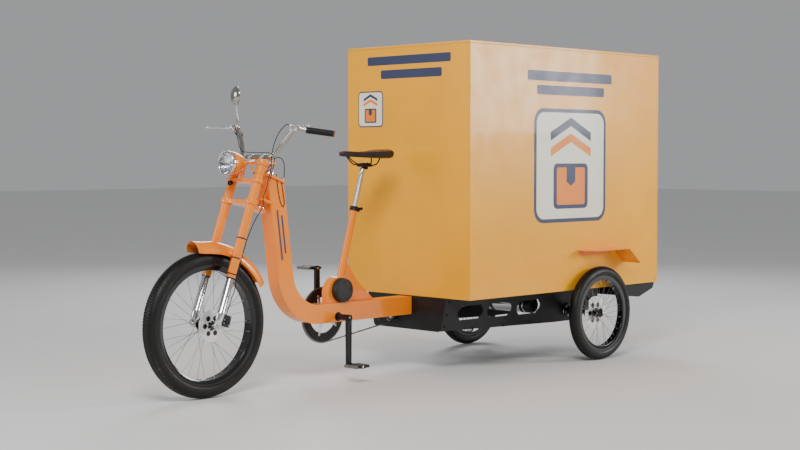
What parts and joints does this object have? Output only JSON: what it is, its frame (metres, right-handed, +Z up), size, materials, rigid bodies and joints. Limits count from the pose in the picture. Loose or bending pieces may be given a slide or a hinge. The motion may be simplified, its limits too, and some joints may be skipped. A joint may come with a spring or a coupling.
{
  "type": "cargo tricycle",
  "caption": "Front-steered cargo tricycle: low J-shaped frame, raked sprung fork, saddle and cranks ahead of a tall closed delivery box on two rear wheels.",
  "frame": {"origin": "on the ground, under the middle of the vehicle's length and width", "axes": "+Z up, the rider looks along -Y, +X is the rider's left"},
  "size_m": [1.172, 3.458, 1.772],
  "materials": {
    "frame_paint": "gloss orange enamel",
    "box_paint": "satin yellow-orange lacquer",
    "black_steel": "satin black powder coat",
    "tyre": "moulded rubber with a block tread",
    "black_rim": "gloss black",
    "bright_steel": "brushed",
    "chrome": "polished",
    "black_plastic": "moulded",
    "leather": "worn brown leather",
    "glass": "clear fluted"
  },
  "bodies": {
    "frame": {"main_beam": "frame_paint", "head_tube": "frame_paint", "crank_housing": "frame_paint", "housing_cover": "black_plastic", "seat_tube": "frame_paint", "seat_collar": "black_steel", "chassis_left": "black_steel", "chassis_right": "black_steel", "chassis_front": "black_steel", "rear_bumper": "black_steel", "axle_carrier_left": "black_steel", "axle_carrier_right": "black_steel", "drive_motor": "chrome", "battery_pack": "black_plastic", "generator": "black_steel", "drive_chain": "bright_steel", "box_floor": "black_plastic", "box_roof": "box_paint", "box_front": "box_paint", "box_left": "box_paint", "box_right": "box_paint", "wheel_guard_left": "frame_paint", "wheel_guard_right": "frame_paint", "head_cable": "black_plastic"},
    "steering": {"fork_yoke": "frame_paint", "fork_leg_left": "frame_paint", "fork_leg_right": "frame_paint", "front_mudguard": "frame_paint", "headlight_shell": "frame_paint", "headlight_lens": "glass", "handlebar": "chrome", "grip_left": "black_plastic", "grip_right": "black_plastic", "brake_cable_left": "black_plastic"},
    "fork_sliders": {"fork_slider_left": "chrome", "fork_slider_right": "chrome", "front_caliper": "black_plastic"},
    "front_wheel_set": {"front_tyre": "tyre", "front_wheel": "black_rim", "front_rotor": "bright_steel"},
    "rear_left_wheel_set": {"rear_left_tyre": "tyre", "rear_left_wheel": "black_rim", "rear_left_rotor": "bright_steel"},
    "rear_right_wheel_set": {"rear_right_tyre": "tyre", "rear_right_wheel": "black_rim", "rear_right_rotor": "bright_steel"},
    "crank_set": {"crank_arm_left": "black_steel", "crank_arm_right": "black_steel", "chainring": "black_steel"},
    "left_pedal": {"pedal_left": "black_steel"},
    "right_pedal": {"pedal_right": "black_steel"},
    "sprocket": {"generator_sprocket": "bright_steel"},
    "left_lever": {"brake_lever_left": "bright_steel"},
    "right_lever": {"brake_lever_right": "bright_steel"},
    "mirror_head": {"mirror": "chrome"},
    "seat": {"seat_post": "bright_steel", "saddle_rails": "black_steel", "saddle": "leather"},
    "door": {"rear_door": "box_paint"},
    "latch": {"door_latch": "bright_steel"}
  },
  "joints": [
    {"name": "steering", "type": "hinge", "parent": "frame", "child": "steering", "pos_m": [0, -0.961, 1.098], "axis": [0, 0.342, 0.9397], "range_deg": [-40, 40]},
    {"name": "fork_slide", "type": "slide", "parent": "steering", "child": "fork_sliders", "axis": [0, 0.342, 0.9397], "range_m": [0, 0.04], "stiffness_N_per_m": 14000, "springref_m": -0.06},
    {"name": "front_wheel_spin", "type": "hinge", "parent": "fork_sliders", "child": "front_wheel_set", "pos_m": [0, -1.375, 0.354], "axis": [1, 0, 0], "continuous": true},
    {"name": "rear_left_wheel_spin", "type": "hinge", "parent": "frame", "child": "rear_left_wheel_set", "pos_m": [0.511, 1.0745, 0.268], "axis": [1, 0, 0], "continuous": true},
    {"name": "rear_right_wheel_spin", "type": "hinge", "parent": "frame", "child": "rear_right_wheel_set", "pos_m": [-0.511, 1.0745, 0.268], "axis": [1, 0, 0], "continuous": true},
    {"name": "crank_spin", "type": "hinge", "parent": "frame", "child": "crank_set", "pos_m": [0, -0.541, 0.334], "axis": [1, 0, 0], "continuous": true},
    {"name": "sprocket_spin", "type": "hinge", "parent": "frame", "child": "sprocket", "pos_m": [0, -0.036, 0.293], "axis": [1, 0, 0], "continuous": true},
    {"name": "left_pedal_spin", "type": "hinge", "parent": "crank_set", "child": "left_pedal", "pos_m": [0.1215, -0.541, 0.09], "axis": [1, 0, 0], "continuous": true},
    {"name": "right_pedal_spin", "type": "hinge", "parent": "crank_set", "child": "right_pedal", "pos_m": [-0.1215, -0.541, 0.578], "axis": [1, 0, 0], "continuous": true},
    {"name": "left_brake_lever", "type": "hinge", "parent": "steering", "child": "left_lever", "pos_m": [0.23, -1.025, 1.308], "axis": [0, 0, 1], "range_deg": [0, 25], "stiffness_Nm_per_rad": 0.8, "springref_deg": -5.73},
    {"name": "right_brake_lever", "type": "hinge", "parent": "steering", "child": "right_lever", "pos_m": [-0.23, -1.025, 1.308], "axis": [0, 0, -1], "range_deg": [0, 25], "stiffness_Nm_per_rad": 0.8, "springref_deg": -5.73},
    {"name": "mirror_turn", "type": "hinge", "parent": "steering", "child": "mirror_head", "pos_m": [-0.222, -0.991, 1.3165], "axis": [0, 0, 1], "range_deg": [-60, 60]},
    {"name": "seat_height", "type": "slide", "parent": "frame", "child": "seat", "axis": [0, 0.2756, 0.9613], "range_m": [-0.15, 0.1]},
    {"name": "rear_door_hinge", "type": "hinge", "parent": "frame", "child": "door", "pos_m": [-0.47, 1.705, 0.407], "axis": [0, 0, 1], "range_deg": [0, 180]},
    {"name": "door_latch_turn", "type": "hinge", "parent": "door", "child": "latch", "pos_m": [0.406, 1.6993, 1.06], "axis": [0, 1, 0], "range_deg": [0, 90]}
  ],
  "couplings": [
    {"joint": "sprocket_spin", "follows": "crank_spin", "ratio": 4.5}
  ]
}
